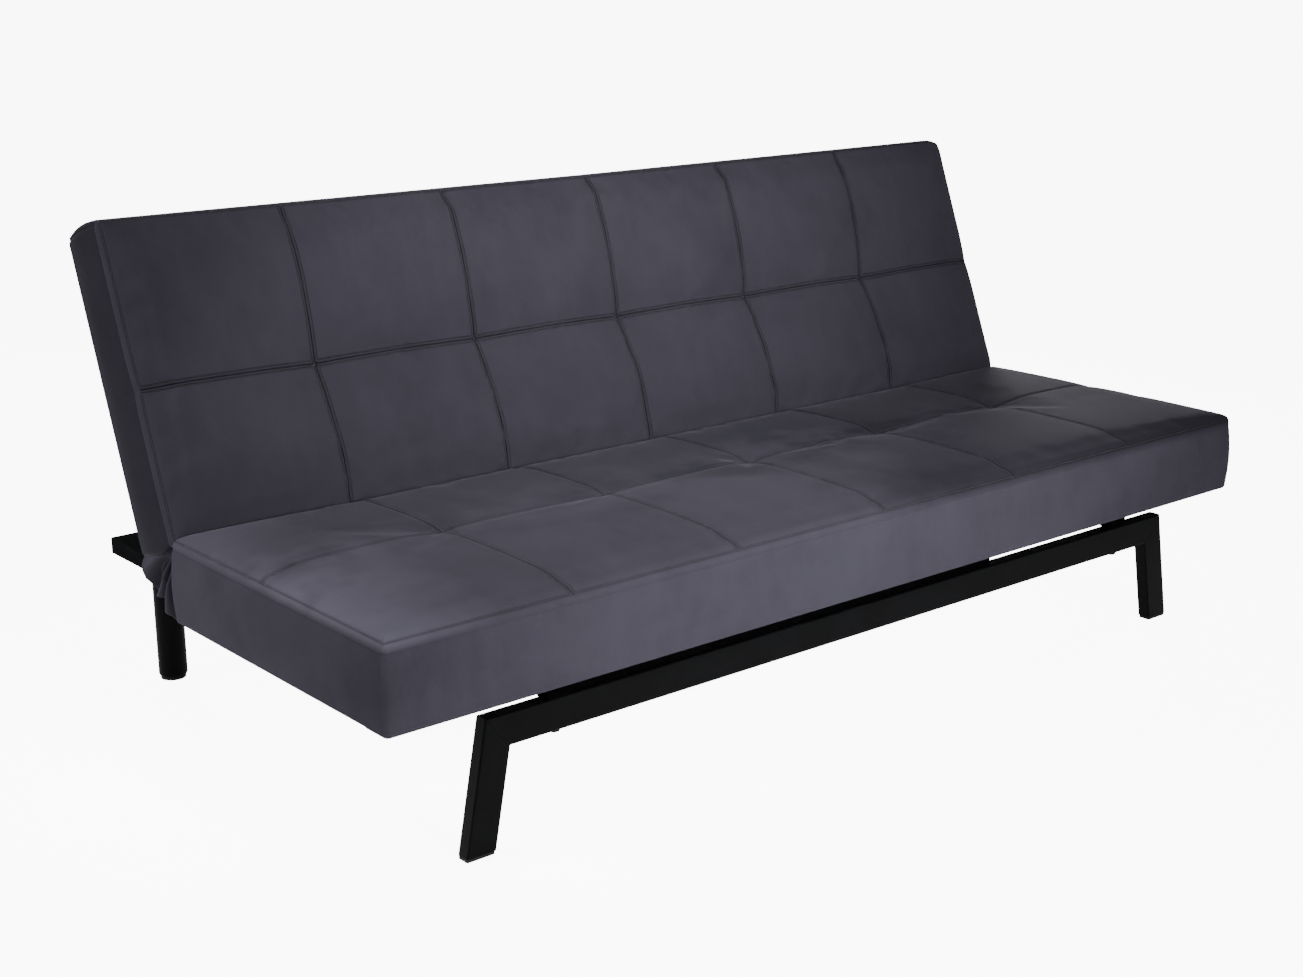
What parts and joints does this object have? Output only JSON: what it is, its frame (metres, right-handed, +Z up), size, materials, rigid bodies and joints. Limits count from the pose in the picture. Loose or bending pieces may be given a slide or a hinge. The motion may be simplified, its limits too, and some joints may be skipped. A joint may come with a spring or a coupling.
{
  "type": "futon sofa bed",
  "caption": "Armless upholstered sofa bed: a tufted seat on a low splayed steel leg frame, with a tufted backrest that tips back on ratchet hinges to lie flat.",
  "frame": {"origin": "on the floor, under the middle of the whole sofa's box", "axes": "+Z up, +X along the sofa's width towards the sitter's left, -Y towards the front of the seat"},
  "size_m": [1.9, 1.08, 0.83],
  "materials": {
    "velvet": "matte",
    "black_steel": "satin",
    "black_wood": "satin",
    "black_plastic": "matte",
    "rubber": "matte",
    "pine": "matte",
    "foam": "matte",
    "lining": "matte",
    "zinc_plate": "satin",
    "spring_steel": "satin"
  },
  "bodies": {
    "seat": {"front_rail": "black_steel", "front_leg_left": "black_steel", "front_leg_right": "black_steel", "front_foot_left": "black_plastic", "front_foot_right": "black_plastic", "rail_spacer_left": "black_steel", "rail_spacer_right": "black_steel", "rail_packing": "black_wood", "rail_screw_left": "black_steel", "rail_screw_right": "black_steel", "runner_left": "black_wood", "runner_right": "black_wood", "rear_leg_left": "black_steel", "rear_leg_right": "black_steel", "rear_glide_left": "black_plastic", "rear_glide_right": "black_plastic", "runner_screw_left": "black_steel", "runner_screw_right": "black_steel", "bumper_left": "rubber", "bumper_right": "rubber", "seat_side_board_left": "pine", "seat_side_board_right": "pine", "seat_front_board": "pine", "seat_rear_board": "pine", "seat_batten_left": "pine", "seat_batten_middle": "pine", "seat_batten_right": "pine", "seat_spring_1": "spring_steel", "seat_spring_2": "spring_steel", "seat_spring_3": "spring_steel", "seat_spring_4": "spring_steel", "seat_foam": "foam", "seat_cover": "velvet", "seat_lining": "lining", "hinge_seat_plate_left": "zinc_plate", "hinge_seat_plate_right": "zinc_plate", "hinge_pin_left": "zinc_plate", "hinge_pin_right": "zinc_plate", "pawl_spring_left": "spring_steel", "pawl_spring_right": "spring_steel", "seat_plate_screw_left": "zinc_plate", "seat_plate_screw_right": "zinc_plate", "gusset_left": "velvet", "gusset_right": "velvet"},
    "backrest": {"back_cover": "velvet", "back_foam": "foam", "back_side_board_left": "pine", "back_side_board_right": "pine", "back_bottom_board": "pine", "back_top_board": "pine", "back_middle_board": "pine", "back_spring_1": "spring_steel", "back_spring_2": "spring_steel", "back_spring_3": "spring_steel", "hinge_back_plate_left": "zinc_plate", "hinge_back_plate_right": "zinc_plate", "back_plate_screw_left": "zinc_plate", "back_plate_screw_right": "zinc_plate"},
    "pawl_left": {"hinge_pawl_left": "zinc_plate"},
    "pawl_right": {"hinge_pawl_right": "zinc_plate"}
  },
  "joints": [
    {"name": "back_recline", "type": "hinge", "parent": "seat", "child": "backrest", "pos_m": [0, 0.09636, 0.306], "axis": [-1, 0, 0], "range_deg": [-12, 69]},
    {"name": "pawl_left_swing", "type": "hinge", "parent": "seat", "child": "pawl_left", "pos_m": [-0.9353, 0.05111, 0.30034], "axis": [1, 0, 0], "range_deg": [0, 9], "stiffness_Nm_per_rad": 0.02},
    {"name": "pawl_right_swing", "type": "hinge", "parent": "seat", "child": "pawl_right", "pos_m": [0.9353, 0.05111, 0.30034], "axis": [1, 0, 0], "range_deg": [0, 9], "stiffness_Nm_per_rad": 0.02}
  ]
}
